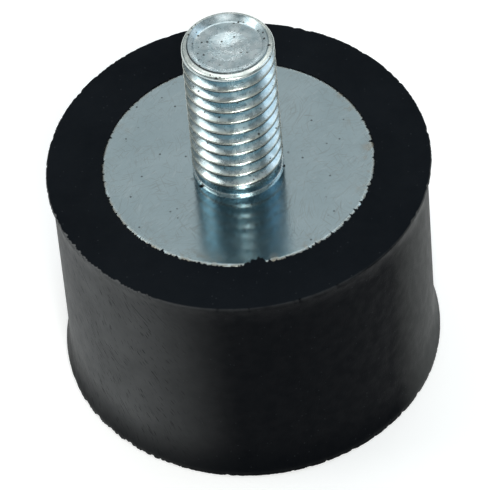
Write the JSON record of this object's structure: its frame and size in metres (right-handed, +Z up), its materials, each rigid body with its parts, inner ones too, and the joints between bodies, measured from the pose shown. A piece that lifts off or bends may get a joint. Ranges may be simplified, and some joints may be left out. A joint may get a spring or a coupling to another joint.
{
  "type": "bobbin vibration mount",
  "caption": "Waisted round rubber bobbin with a steel disc bonded in each end, a threaded stud on top and a blind tapped bush below, to isolate vibration.",
  "frame": {"origin": "centre of the lower end face", "axes": "+Z up the axis, out of the upper end along the stud; +X and +Y are equal, as the part is round"},
  "size_m": [0.04, 0.04, 0.0448],
  "materials": {
    "rubber": "matt moulded natural rubber, slightly scuffed",
    "zinc_plate_disc": "blue-white zinc plate, satin with fine scratches",
    "zinc_plate_thread": "blue-white zinc plate on a rolled thread"
  },
  "bodies": {
    "root": {"rubber_body": "rubber", "upper_disc": "zinc_plate_disc", "stud": "zinc_plate_thread", "lower_disc": "zinc_plate_disc", "threaded_bush": "zinc_plate_thread"}
  },
  "joints": []
}
